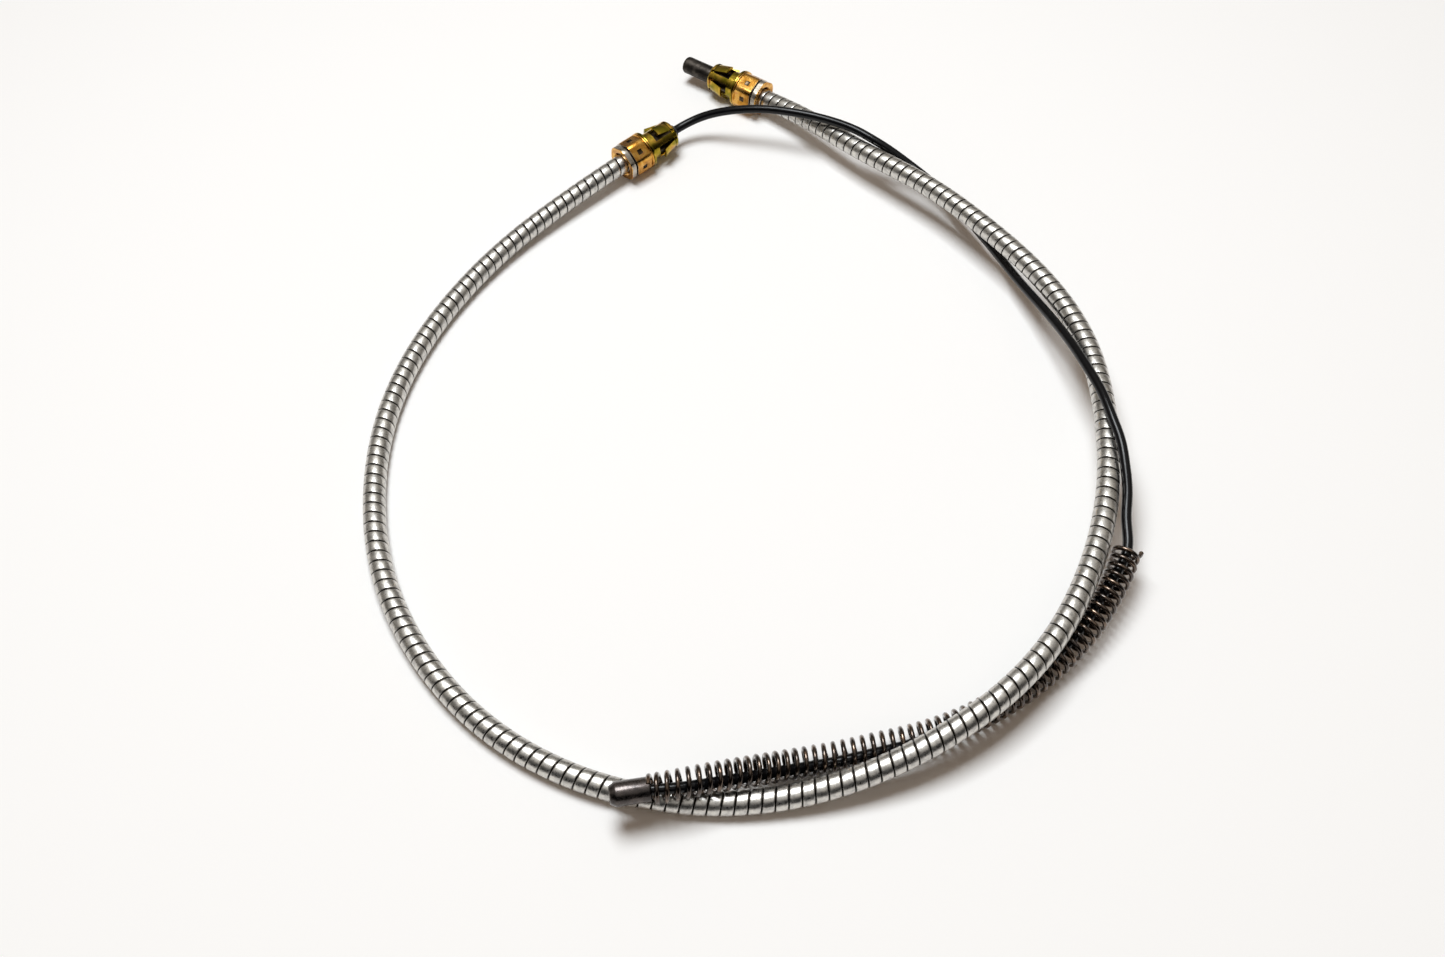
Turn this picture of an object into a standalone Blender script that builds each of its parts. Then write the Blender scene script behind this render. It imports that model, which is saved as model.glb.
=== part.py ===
"""Parking brake cable: a spiral steel conduit between two snap-in end fittings, with the coated
inner cable that runs through it, its return spring, end plug and barrel. Metres, +Z up.

The sizes below are in millimetres. Each fitting is built on its own axis: local +Z runs from
the back of the fitting to its nose, and local +X is the side that faces up.
"""
import math

import bmesh
import bpy
import numpy as np
from mathutils import Matrix, Vector

MM = 0.001

# Clearances between pieces
CLEARANCE = 0.3
FIT = 0.5                  # conduit in the ferrule, strand in its bore

# Conduit
CONDUIT_OD = 11.0
CONDUIT_BORE = 7.0
RIB_COUNT = 76
RIB_DEPTH = 0.35
BORE_STEPS = 64
CONDUIT_SEAT = 12.0        # how far the conduit goes into a ferrule

# Inner cable
CABLE_OD = 4.8
STRAND_OD = 3.2
CASED_STEPS = 78
FREE_STEPS = 64
TAIL_STEPS = 32

# Ferrule, lengths from its back
RING_OD = 20.6
RING_FLATS = 19.2
RING_LENGTH = 3.1
GROOVE_OD = 15.0
GROOVE_LENGTH = 1.1
COLLAR_OD = 21.2
COLLAR_FLATS = 19.4
COLLAR_LENGTH = 10.2
RIM_OD = 21.4
RIM_LENGTH = 1.3
MOUTH_LENGTH = 1.5         # flared mouth of the conduit's seat
MOUTH_FLARE = 1.0
PUNCH_SIZE = 2.6
PUNCH_DEPTH = 0.5
SPIGOT_WALL = 2.2

# Clip
FLANGE_LENGTH = 1.3
SLEEVE_OD = 16.5
SLEEVE_WALL = 1.4
SLEEVE_LENGTH = 19.0       # from the flange's front to the nose
NOSE_WALL = 2.3
NOSE_ROUND = 1.4
NOSE_HOLE = 9.2
SPIGOT_PLAY = 0.35         # spigot in the sleeve

# Fingers
FINGER_COUNT = 4
FINGER_LENGTH = 9.3
FINGER_ANGLE = 53.0
FINGER_ROOT = 3.0          # from the nose to the finger's root
FINGER_SPLAY = 16.0
FINGER_PLAY = 0.6          # at the root
SIDE_SLOT = 1.3
TIP_SLOT = 1.9
RELIEF_OD = 2.4            # round end of the side slots

# Seal
SEAL_WALL = 1.9
SEAL_LENGTH = 5.0
LIP_WALL = 0.75
WHEEL_LIP = 2.0            # how far a seal's lip stands out of the nose
FRAME_LIP = -0.5

# Barrel and plug
BARREL_OD = 10.0
BARREL_LENGTH = 20.0
PLUG_OD = 10.0
PLUG_LENGTH = 14.2
END_CHAMFER = 1.0
END_BORE_DEPTH = 13.0
PLUG_BORE_DEPTH = 11.0
STUB_LENGTH = 34.0         # straight cable behind the barrel
STUB_GAP = 1.0             # between that and the cable in the conduit
BARE_LENGTH = 8.0          # bare strand between the plug and the coated cable

CABLE_LEAN = 1.3           # how far the cable lies off the spring's axis

# Return spring
WIRE_OD = 2.1
COIL_RADIUS = 5.8
CURLS = 60
CURL_POINTS = 8
END_PITCH = 3.3

# Where the fittings lie: back of the fitting, heading and rise of its axis in degrees
WHEEL_BACK = (-55.1, 153.0, 10.7)
WHEEL_HEADING = 38.0
WHEEL_RISE = 1.6
WHEEL_FINGER_TURN = 7.0
WHEEL_HEX_TURN = 39.5
FRAME_BACK = (29.3, 201.9, 10.8)
FRAME_HEADING = 141.6
FRAME_RISE = 0.0
FRAME_FINGER_TURN = 2.0
FRAME_HEX_TURN = 41.5

# Routes, chosen by hand: the conduit between its fittings, the free cable between the wheel-end
# nose and the spring, and the spring's axis from its far end to the plug
CONDUIT_ROUTE = [
    (-81.5, 131.5, 9.2), (-115.5, 100.5, 6.8), (-144, 64.5, 5.3), (-165, 24, 5),
    (-177, -20, 5), (-178.5, -66, 5), (-170, -111.5, 5), (-150.5, -153, 5),
    (-122, -188.5, 5.05), (-85, -215, 5.1), (-42.5, -230.5, 5.3), (3.5, -234, 5.8),
    (49, -226.5, 11.9), (90.5, -209, 18.8), (126, -181, 20.9), (152.5, -143.5, 22.2),
    (170, -100.5, 22.7), (178, -55.5, 22.9), (177.5, -10, 22.9), (164, 33.5, 23),
    (140.5, 73.5, 22.8), (113, 110, 21.6), (81, 143.5, 19), (52, 178.5, 14.5),
]
CABLE_ROUTE = [
    (-9.5, 183, 15.2), (4, 181.5, 20.1), (17, 178.5, 23.5), (30.5, 175, 25.4),
    (42.5, 171, 26.1), (56.5, 165.5, 26.3), (69.5, 158.5, 26.4), (79.5, 151.5, 26.2),
    (87, 146, 24.7), (95.5, 140.5, 21.7), (104.5, 134.5, 17.5), (116, 123.5, 13.7),
    (127, 108, 11.3), (137, 88, 10.5), (145, 68.5, 11.2), (152, 48, 13.2),
    (158.5, 27.5, 17.1), (164.5, 6.5, 22.1), (169.5, -15.5, 27.5), (173, -34, 31.1),
    (176, -50, 32.7), (178, -65.5, 32.2), (179.5, -76.5, 30.7), (179.5, -89, 28.1),
    (178.5, -102.5, 24.3), (176, -115, 21.1),
]
SPRING_ROUTE = [
    (174, -129, 18.7), (167.5, -141.5, 16.6), (159.5, -153, 14.2), (150.5, -164, 11.8),
    (140.5, -173.5, 9.6), (129.5, -182, 7.8), (117.5, -190, 6.7), (105, -197, 6.5),
    (92, -203, 6.5), (79, -207.5, 6.5), (65, -211, 6.5), (51, -213.5, 6.5),
    (37, -216, 6.5), (23, -218, 6.7), (9, -220.5, 8.9), (-4.5, -223.5, 12.2),
    (-18, -226.5, 15.5), (-32, -229.5, 17.7), (-46, -231.5, 17.9),
]

# Axial stations of a fitting
COLLAR_START = RING_LENGTH + GROOVE_LENGTH
RIM_START = COLLAR_START + COLLAR_LENGTH
FLANGE_START = RIM_START + RIM_LENGTH + CLEARANCE
SLEEVE_START = FLANGE_START + FLANGE_LENGTH
NOSE = SLEEVE_START + SLEEVE_LENGTH
SLEEVE_BORE = SLEEVE_OD / 2 - SLEEVE_WALL
SPIGOT_R = SLEEVE_BORE - SPIGOT_PLAY
SPIGOT_END = NOSE - NOSE_WALL - CLEARANCE
SEAL_R = SPIGOT_R - SPIGOT_WALL


def material(name, colour, metallic, roughness):
    """A Principled material of one colour (linear RGB)."""
    made = bpy.data.materials.new(name)
    made.use_nodes = True
    shader = made.node_tree.nodes["Principled BSDF"]
    shader.inputs["Base Color"].default_value = (*colour, 1.0)
    shader.inputs["Metallic"].default_value = metallic
    shader.inputs["Roughness"].default_value = roughness
    return made


def place(obj, parent=None, finish=None):
    """Link an object to the scene, with its parent and material."""
    bpy.context.scene.collection.objects.link(obj)
    obj.parent = parent
    if finish:
        obj.data.materials.append(finish)
    return obj


def mesh_object(name, bm, parent=None, finish=None):
    """Make a bmesh in millimetres an object in metres, shaded smooth with its edges kept."""
    bmesh.ops.remove_doubles(bm, verts=bm.verts, dist=0.0001)
    bmesh.ops.recalc_face_normals(bm, faces=bm.faces)
    bmesh.ops.scale(bm, vec=(MM, MM, MM), verts=bm.verts)
    mesh = bpy.data.meshes.new(name)
    bm.to_mesh(mesh)
    bm.free()
    mesh.shade_smooth()
    mesh.set_sharp_from_angle(angle=math.radians(30))
    return place(bpy.data.objects.new(name, mesh), parent, finish)


def spun(profile, angle=360.0, steps=32, start=0.0):
    """Turn a closed profile of (radius, height) points about Z."""
    bm = bmesh.new()
    corners = [bm.verts.new((radius, 0, height)) for radius, height in profile]
    face = bm.faces.new(corners)
    full = angle >= 360.0
    bmesh.ops.rotate(bm, verts=bm.verts, cent=(0, 0, 0),
                     matrix=Matrix.Rotation(math.radians(start), 3, "Z"))
    if full:
        edges = list(bm.edges)
        bmesh.ops.delete(bm, geom=[face], context="FACES_ONLY")
        bmesh.ops.spin(bm, geom=edges, cent=(0, 0, 0), axis=(0, 0, 1),
                       angle=math.radians(360), steps=steps, use_merge=True)
    else:
        bmesh.ops.spin(bm, geom=[face], cent=(0, 0, 0), axis=(0, 0, 1),
                       angle=math.radians(angle), steps=steps)
    return bm


def press_flats(bm, low, high, flats, turn):
    """Press six flats into a turned length, round their corners as the turned surface was."""
    for vert in bm.verts:
        radius = math.hypot(vert.co.x, vert.co.y)
        if not low - 0.01 <= vert.co.z <= high + 0.01 or radius < flats / 2:
            continue
        angle = math.degrees(math.atan2(vert.co.y, vert.co.x)) - turn
        off_flat = math.radians((angle + 30) % 60 - 30)
        pressed = min(radius, flats / 2 / math.cos(off_flat))
        vert.co.x *= pressed / radius
        vert.co.y *= pressed / radius


def cut(target, cutters):
    """Cut a list of objects out of one and remove them."""
    bpy.context.view_layer.update()
    for tool in cutters:
        step = target.modifiers.new("cut", "BOOLEAN")
        step.operation = "DIFFERENCE"
        step.solver = "EXACT"
        step.object = tool
    depsgraph = bpy.context.evaluated_depsgraph_get()
    mesh = bpy.data.meshes.new_from_object(target.evaluated_get(depsgraph))
    target.modifiers.clear()
    target.data = mesh
    mesh.shade_smooth()
    mesh.set_sharp_from_angle(angle=math.radians(30))
    for tool in cutters:
        bpy.data.objects.remove(tool)


def natural_spline(points):
    """A smooth curve through points: a function of the share of its length, that length, and
    the share at each point."""
    knots = np.array(points, float)
    run = np.linalg.norm(np.diff(knots, axis=0), axis=1)
    at = np.concatenate([[0.0], np.cumsum(run)])
    size = len(knots)
    system = np.eye(size)
    right = np.zeros((size, 3))
    for i in range(1, size - 1):
        system[i, i - 1:i + 2] = (run[i - 1], 2 * (run[i - 1] + run[i]), run[i])
        right[i] = 6 * ((knots[i + 1] - knots[i]) / run[i] - (knots[i] - knots[i - 1]) / run[i - 1])
    bend = np.linalg.solve(system, right)

    def at_run(value):
        i = int(np.clip(np.searchsorted(at, value) - 1, 0, size - 2))
        a, b, h = at[i + 1] - value, value - at[i], run[i]
        return ((bend[i] * a ** 3 + bend[i + 1] * b ** 3) / (6 * h)
                + (knots[i] / h - bend[i] * h / 6) * a
                + (knots[i + 1] / h - bend[i + 1] * h / 6) * b)

    fine = np.array([at_run(v) for v in np.linspace(0, at[-1], 40 * size)])
    length = np.concatenate([[0.0], np.cumsum(np.linalg.norm(np.diff(fine, axis=0), axis=1))])
    value = np.linspace(0, at[-1], 40 * size)

    def by_share(share):
        return at_run(np.interp(share * length[-1], length, value))

    return by_share, length[-1], np.interp(at, value, length) / length[-1]


def along(points, count):
    """Evenly spaced points on the smooth curve through a route."""
    curve, _, _ = natural_spline(points)
    return [curve(i / (count - 1)) for i in range(count)]


def tube(name, points, diameter, resolution=2, shares=None, parent=None, finish=None):
    """A POLY curve with a round bevel and filled caps; shares scale the radius at each point."""
    data = bpy.data.curves.new(name, "CURVE")
    data.dimensions = "3D"
    data.bevel_depth = diameter / 2 * MM
    data.bevel_resolution = resolution
    data.use_fill_caps = True
    spline = data.splines.new("POLY")
    spline.points.add(len(points) - 1)
    for i, point in enumerate(points):
        spline.points[i].co = (*(float(v) * MM for v in point), 1.0)
        spline.points[i].radius = shares[i] if shares else 1.0
        spline.use_smooth = True
    return place(bpy.data.objects.new(name, data), parent, finish)


def floor_cutter():
    """A slab under the floor, which cuts flats where the conduit and the spring lie on it."""
    bm = bmesh.new()
    bmesh.ops.create_cube(bm, size=1)
    bmesh.ops.scale(bm, vec=(600, 700, 20), verts=bm.verts)
    bmesh.ops.translate(bm, vec=(0, 0, -10), verts=bm.verts)
    return mesh_object("slab", bm)


def as_mesh(obj):
    """The same tube as a mesh object, so that it can be cut."""
    bpy.context.view_layer.update()
    depsgraph = bpy.context.evaluated_depsgraph_get()
    mesh = bpy.data.meshes.new_from_object(obj.evaluated_get(depsgraph))
    name = obj.name
    bpy.data.objects.remove(obj)
    bm = bmesh.new()
    bm.from_mesh(mesh)
    bmesh.ops.remove_doubles(bm, verts=bm.verts, dist=0.0000005)
    bmesh.ops.recalc_face_normals(bm, faces=bm.faces)
    bm.to_mesh(mesh)
    bm.free()
    return place(bpy.data.objects.new(name, mesh))


def fitting_frame(name, back, heading, rise):
    """An empty at the back of a fitting, +Z along its axis and +X on its upper side."""
    heading, rise = math.radians(heading), math.radians(rise)
    axis = Vector((math.cos(heading) * math.cos(rise), math.sin(heading) * math.cos(rise),
                   math.sin(rise)))
    upper = (Vector((0, 0, 1)) - axis * axis.z).normalized()
    side = axis.cross(upper)
    empty = place(bpy.data.objects.new(name, None))
    turned = Matrix((upper, side, axis)).transposed().to_4x4()
    empty.matrix_world = Matrix.Translation(Vector(back) * MM) @ turned
    return empty


def on_axis(back, heading, rise, distance):
    """A point on a fitting's axis, in millimetres."""
    heading, rise = math.radians(heading), math.radians(rise)
    return (back[0] + distance * math.cos(heading) * math.cos(rise),
            back[1] + distance * math.sin(heading) * math.cos(rise),
            back[2] + distance * math.sin(rise))


def ferrule(name, frame, hex_turn, finish):
    """Crimped steel end: rear ring, groove, hexagonal collar, rim and spigot, bored through."""
    seat_r = CONDUIT_OD / 2 + FIT
    bore_r = CONDUIT_BORE / 2
    seal_depth = SPIGOT_END - SEAL_LENGTH - CLEARANCE
    edge = 0.5
    outer = [
        (seat_r + MOUTH_FLARE, 0), (RING_OD / 2 - edge, 0), (RING_OD / 2, edge),
        (RING_OD / 2, RING_LENGTH - edge), (RING_OD / 2 - edge, RING_LENGTH),
        (GROOVE_OD / 2, RING_LENGTH), (GROOVE_OD / 2, COLLAR_START),
        (COLLAR_OD / 2 - edge, COLLAR_START), (COLLAR_OD / 2, COLLAR_START + edge),
        (COLLAR_OD / 2, RIM_START - edge), (COLLAR_OD / 2 - edge, RIM_START),
        (RIM_OD / 2, RIM_START + edge), (RIM_OD / 2, RIM_START + RIM_LENGTH - edge),
        (RIM_OD / 2 - edge, RIM_START + RIM_LENGTH), (SPIGOT_R, RIM_START + RIM_LENGTH),
        (SPIGOT_R, SPIGOT_END),
    ]
    inner = [
        (SEAL_R, SPIGOT_END), (SEAL_R, seal_depth), (bore_r, seal_depth),
        (bore_r, CONDUIT_SEAT + CLEARANCE), (seat_r, CONDUIT_SEAT + CLEARANCE),
        (seat_r, MOUTH_LENGTH),
    ]
    bm = spun(outer + inner, steps=30, start=hex_turn)
    press_flats(bm, 0, RING_LENGTH, RING_FLATS, hex_turn)
    press_flats(bm, COLLAR_START, RIM_START, COLLAR_FLATS, hex_turn)
    body = mesh_object(name, bm, frame, finish)
    marks = []
    for i in range(6):
        mark = bmesh.new()
        bmesh.ops.create_cube(mark, size=PUNCH_SIZE)
        bmesh.ops.scale(mark, vec=(1, 0.9, 1), verts=mark.verts)
        reach = COLLAR_FLATS / 2 - PUNCH_DEPTH + PUNCH_SIZE / 2
        middle = COLLAR_START + COLLAR_LENGTH / 2
        bmesh.ops.translate(mark, vec=(reach, 0, middle), verts=mark.verts)
        bmesh.ops.rotate(mark, verts=mark.verts, cent=(0, 0, 0),
                         matrix=Matrix.Rotation(math.radians(hex_turn + 60 * i), 3, "Z"))
        marks.append(mesh_object("mark", mark, frame))
    cut(body, marks)
    return body


def clip(name, frame, finger_turn, finish):
    """Stamped sleeve with its flange and rounded nose, and a window round each finger."""
    outer_r, lip_r = SLEEVE_OD / 2, NOSE_HOLE / 2
    edge = 0.4
    flange_end = FLANGE_START + FLANGE_LENGTH
    rounding = [
        (outer_r - NOSE_ROUND * (1 - math.cos(t)), NOSE - NOSE_ROUND * (1 - math.sin(t)))
        for t in (0, math.pi / 6, math.pi / 3, math.pi / 2)
    ]
    profile = [
        (SLEEVE_BORE, FLANGE_START), (RIM_OD / 2 - edge, FLANGE_START),
        (RIM_OD / 2, FLANGE_START + edge), (RIM_OD / 2, flange_end - edge),
        (RIM_OD / 2 - edge, flange_end), (outer_r, flange_end), *rounding,
        (lip_r, NOSE), (lip_r, NOSE - NOSE_WALL), (SLEEVE_BORE, NOSE - NOSE_WALL),
    ]
    body = mesh_object(name, spun(profile, steps=36, start=finger_turn), frame, finish)
    slot = math.degrees(SIDE_SLOT / outer_r)
    root = NOSE - FINGER_ROOT
    low = root - FINGER_LENGTH - TIP_SLOT
    high = root + FINGER_PLAY
    windows = []
    for i in range(FINGER_COUNT):
        middle = finger_turn + 360 / FINGER_COUNT * i
        wide = FINGER_ANGLE + 2 * slot
        sector = [(SLEEVE_BORE - 0.15, low), (outer_r + 1, low), (outer_r + 1, high),
                  (SLEEVE_BORE - 0.15, high)]
        bm = spun(sector, wide, steps=8, start=middle - wide / 2)
        windows.append(mesh_object("window", bm, frame))
        for side in (-1, 1):
            relief = bmesh.new()
            bmesh.ops.create_cone(relief, cap_ends=True, segments=12, radius1=RELIEF_OD / 2,
                                  radius2=RELIEF_OD / 2, depth=2 * SLEEVE_WALL)
            bmesh.ops.rotate(relief, verts=relief.verts, cent=(0, 0, 0),
                             matrix=Matrix.Rotation(math.pi / 2, 3, "Y"))
            bmesh.ops.translate(relief, vec=(outer_r, 0, high), verts=relief.verts)
            turn = math.radians(middle + side * (wide - slot) / 2)
            bmesh.ops.rotate(relief, verts=relief.verts, cent=(0, 0, 0),
                             matrix=Matrix.Rotation(turn, 3, "Z"))
            windows.append(mesh_object("relief", relief, frame))
    cut(body, windows)
    return body


def finger_hinge():
    """Radius and height of a finger's bending line in its fitting's frame."""
    middle = (SLEEVE_BORE + SLEEVE_OD / 2) / 2
    sagged = middle * (1 + math.cos(math.radians(FINGER_ANGLE / 2))) / 2
    return sagged, NOSE - FINGER_ROOT


def finger(name, frame, turn, finish):
    """One locking finger: a strip of the sleeve's wall, bent out about its root."""
    radius, height = finger_hinge()
    tip = height - FINGER_LENGTH
    strip = [(SLEEVE_BORE, tip + 0.3), (SLEEVE_BORE + 0.3, tip), (SLEEVE_OD / 2 - 0.3, tip),
             (SLEEVE_OD / 2, tip + 0.3), (SLEEVE_OD / 2, height), (SLEEVE_BORE, height)]
    bm = spun(strip, FINGER_ANGLE, steps=6, start=-FINGER_ANGLE / 2)
    bmesh.ops.translate(bm, vec=(-radius, 0, -height), verts=bm.verts)
    made = mesh_object(name, bm, frame, finish)
    around = Matrix.Rotation(math.radians(turn), 4, "Z")
    bent = Matrix.Rotation(math.radians(-FINGER_SPLAY), 4, "Y")
    hinge = Matrix.Translation(Vector((radius, 0, height)) * MM)
    made.matrix_local = around @ hinge @ bent
    return made


def seal(name, frame, lip_length, finish):
    """Rubber sleeve in the spigot's mouth, with a thin lip round the cable."""
    hole = CABLE_OD / 2 + CLEARANCE
    body_r = SEAL_R - CLEARANCE
    low = SPIGOT_END - SEAL_LENGTH
    lip_r = hole + LIP_WALL
    high = NOSE + lip_length
    profile = [(hole, low), (body_r, low), (body_r, SPIGOT_END - CLEARANCE),
               (lip_r, SPIGOT_END - CLEARANCE), (lip_r, high - 0.3), (lip_r - 0.3, high),
               (hole, high)]
    return mesh_object(name, spun(profile, steps=24), frame, finish)


def swaged_end(name, parent, diameter, length, bore_depth, finish):
    """A turned end swaged on the strand: chamfered at both ends, bored from its base at z = 0."""
    outer_r, bore_r = diameter / 2, STRAND_OD / 2 + CLEARANCE
    profile = [(0, length), (0, bore_depth), (bore_r, bore_depth), (bore_r, 0),
               (outer_r - END_CHAMFER, 0), (outer_r, END_CHAMFER),
               (outer_r, length - END_CHAMFER), (outer_r - END_CHAMFER, length)]
    return mesh_object(name, spun(profile, steps=32), parent, finish)


def rod(name, parent, diameter, low, high, finish):
    """A straight length of strand or cable on its parent's axis."""
    bm = bmesh.new()
    bmesh.ops.create_cone(bm, cap_ends=True, segments=12, radius1=diameter / 2,
                          radius2=diameter / 2, depth=high - low)
    bmesh.ops.translate(bm, vec=(0, 0, (low + high) / 2), verts=bm.verts)
    return mesh_object(name, bm, parent, finish)


def conduit(route, finish):
    """Strip-wound casing: a crest and a valley for each rib, plain in its ferrules, bored."""
    curve, length, _ = natural_spline(route)
    plain = CONDUIT_SEAT / length
    stations, shares = [0.0], [1.0]
    valley = 1 - 2 * RIB_DEPTH / CONDUIT_OD
    step = (1 - 2 * plain) / RIB_COUNT
    for i in range(RIB_COUNT):
        stations += [plain + i * step, plain + (i + 0.5) * step]
        shares += [valley, 1.0]
    stations += [1 - plain, 1.0]
    shares += [valley, 1.0]
    casing = as_mesh(tube("conduit", [curve(s) for s in stations], CONDUIT_OD, 2, shares))
    core = [curve(i / (BORE_STEPS - 1)) for i in range(BORE_STEPS)]
    core[0] = core[0] + (core[0] - curve(0.001))
    core[-1] = core[-1] + (core[-1] - curve(0.999))
    bore = as_mesh(tube("bore", core, CONDUIT_BORE, 1))
    casing.data.materials.append(finish)
    cut(casing, [bore, floor_cutter()])
    return casing


def lying_in(route):
    """The cable's way along the spring's axis: inward of it at the far end, then below it."""
    made = []
    last = len(route) - 1
    for i, point in enumerate(route):
        ahead = np.subtract(route[min(i + 1, last)], route[max(i - 1, 0)])
        outward = np.cross((0, 0, 1), ahead / np.linalg.norm(ahead))
        share = i / last
        lean = CABLE_LEAN * min(1, 10 * share, 5 * (1 - share))
        turn = math.pi / 2 * min(max(share - 0.2, 0) / 0.35, 1)
        made.append(np.array(point) - lean * math.cos(turn) * outward
                    - (0, 0, lean * math.sin(turn)))
    return made


def coil_points():
    """Points of the spring's left-hand helix, from its far end to the plug."""
    curve, length, _ = natural_spline(SPRING_ROUTE)
    ends = 2 * END_PITCH
    pitch = (length - ends) / (CURLS - 2)
    points = []
    for i in range(CURLS * CURL_POINTS + 1):
        turns = i / CURL_POINTS
        inner = min(max(turns - 1, 0), CURLS - 2)
        run = min(turns, 1) * END_PITCH + inner * pitch + max(turns - CURLS + 1, 0) * END_PITCH
        share = run / length
        centre = curve(share)
        ahead = curve(min(share + 0.002, 1)) - curve(max(share - 0.002, 0))
        ahead /= np.linalg.norm(ahead)
        side = np.cross((0, 0, 1), ahead)
        side /= np.linalg.norm(side)
        upper = np.cross(ahead, side)
        angle = 2 * math.pi * turns
        points.append(centre + COIL_RADIUS * (math.cos(angle) * upper + math.sin(angle) * side))
    return np.array(points)


def least_gap(points):
    """Least free space between the spring's own curls, in millimetres."""
    least = 1e9
    reach = CURL_POINTS * 3
    skip = CURL_POINTS // 2
    for i in range(len(points)):
        near = points[i + skip + 1:i + reach]
        if len(near):
            least = min(least, np.linalg.norm(near - points[i], axis=1).min())
    return least - WIRE_OD


def build():
    for old in list(bpy.data.objects):
        bpy.data.objects.remove(old)

    galvanised = material("galvanised_steel", (0.55, 0.56, 0.57), 1.0, 0.35)
    yellow_zinc = material("yellow_zinc", (0.60, 0.42, 0.12), 1.0, 0.32)
    black_nylon = material("black_nylon", (0.012, 0.012, 0.013), 0.0, 0.25)
    spring_steel = material("spring_steel", (0.09, 0.07, 0.06), 1.0, 0.35)
    dark_steel = material("dark_steel", (0.14, 0.14, 0.15), 1.0, 0.40)
    bare_strand = material("bare_strand", (0.40, 0.40, 0.40), 1.0, 0.40)
    rubber = material("black_rubber", (0.015, 0.015, 0.017), 0.0, 0.60)

    wheel = (WHEEL_BACK, WHEEL_HEADING, WHEEL_RISE)
    frame = (FRAME_BACK, FRAME_HEADING, FRAME_RISE)
    ends = [
        ("wheel_end", wheel, WHEEL_HEX_TURN, WHEEL_FINGER_TURN, WHEEL_LIP),
        ("frame_end", frame, FRAME_HEX_TURN, FRAME_FINGER_TURN, FRAME_LIP),
    ]
    frames = {}
    for label, pose, hex_turn, finger_turn, lip in ends:
        empty = fitting_frame(label + "_axis", *pose)
        frames[label] = empty
        ferrule(label + "_ferrule", empty, hex_turn, yellow_zinc)
        clip(label + "_clip", empty, finger_turn, yellow_zinc)
        seal(label + "_seal", empty, lip, rubber)
        for i in range(FINGER_COUNT):
            turn = finger_turn + 360 / FINGER_COUNT * i
            finger("%s_finger_%d" % (label, i + 1), empty, turn, yellow_zinc)

    route = [on_axis(*wheel, CONDUIT_SEAT), on_axis(*wheel, 0), *CONDUIT_ROUTE,
             on_axis(*frame, 0), on_axis(*frame, CONDUIT_SEAT)]
    conduit(route, galvanised)

    # The cable in the conduit stops short of the straight stub that slides with the barrel
    stub_start = NOSE - CLEARANCE - STUB_LENGTH
    cased = [on_axis(*wheel, NOSE - CLEARANCE), *route[:-1],
             on_axis(*frame, stub_start - STUB_GAP)]
    tube("cased_cable", along(cased, CASED_STEPS), CABLE_OD, 2, finish=black_nylon)

    # One route carries the free cable and its tail inside the spring
    before = [on_axis(*wheel, NOSE), on_axis(*wheel, NOSE + 5), *CABLE_ROUTE]
    cable, length, shares = natural_spline([*before, *lying_in(SPRING_ROUTE)])
    mouth = shares[len(before)]
    for name, first, last, steps in (
            ("free_cable", 0, mouth, FREE_STEPS),
            ("spring_cable", mouth + 2 * CLEARANCE / length, 1 - BARE_LENGTH / length,
             TAIL_STEPS)):
        points = [cable(first + (last - first) * i / (steps - 1)) for i in range(steps)]
        tube(name, points, CABLE_OD, 2, finish=black_nylon)

    points = coil_points()
    spring = as_mesh(tube("return_spring", points, WIRE_OD, 1))
    spring.data.materials.append(spring_steel)
    cut(spring, [floor_cutter()])
    print("least gap between the spring's curls: %.2f mm" % least_gap(points))

    # End plug on the spring's axis, against its last coil
    axis, _, _ = natural_spline(SPRING_ROUTE)
    end = Vector(axis(1.0))
    ahead = (end - Vector(axis(0.99))).normalized()
    seat = end + ahead * (WIRE_OD / 2 + CLEARANCE)
    plug_frame = place(bpy.data.objects.new("plug_axis", None))
    plug_frame.matrix_world = (Matrix.Translation(seat * MM)
                               @ ahead.to_track_quat("Z", "Y").to_matrix().to_4x4())
    swaged_end("end_plug", plug_frame, PLUG_OD, PLUG_LENGTH, PLUG_BORE_DEPTH, dark_steel)
    rod("plug_strand", plug_frame, STRAND_OD,
        CLEARANCE - BARE_LENGTH - (WIRE_OD / 2 + CLEARANCE) + CLEARANCE,
        PLUG_BORE_DEPTH - CLEARANCE, bare_strand)

    # Barrel on the frame-end fitting's axis, with the straight cable behind it
    barrel_frame = place(bpy.data.objects.new("barrel_axis", None), frames["frame_end"])
    barrel_frame.location = (0, 0, (NOSE + CLEARANCE) * MM)
    swaged_end("barrel_ferrule", barrel_frame, BARREL_OD, BARREL_LENGTH, END_BORE_DEPTH,
               dark_steel)
    rod("barrel_strand", barrel_frame, STRAND_OD, -CLEARANCE, END_BORE_DEPTH - CLEARANCE,
        bare_strand)
    rod("pull_cable", barrel_frame, CABLE_OD, -STUB_LENGTH - 2 * CLEARANCE, -2 * CLEARANCE,
        black_nylon)


build()
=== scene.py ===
"""The visible model of a parking brake cable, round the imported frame."""

import math

import bmesh
import bpy
import numpy as np
from mathutils import Matrix, Vector


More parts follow.
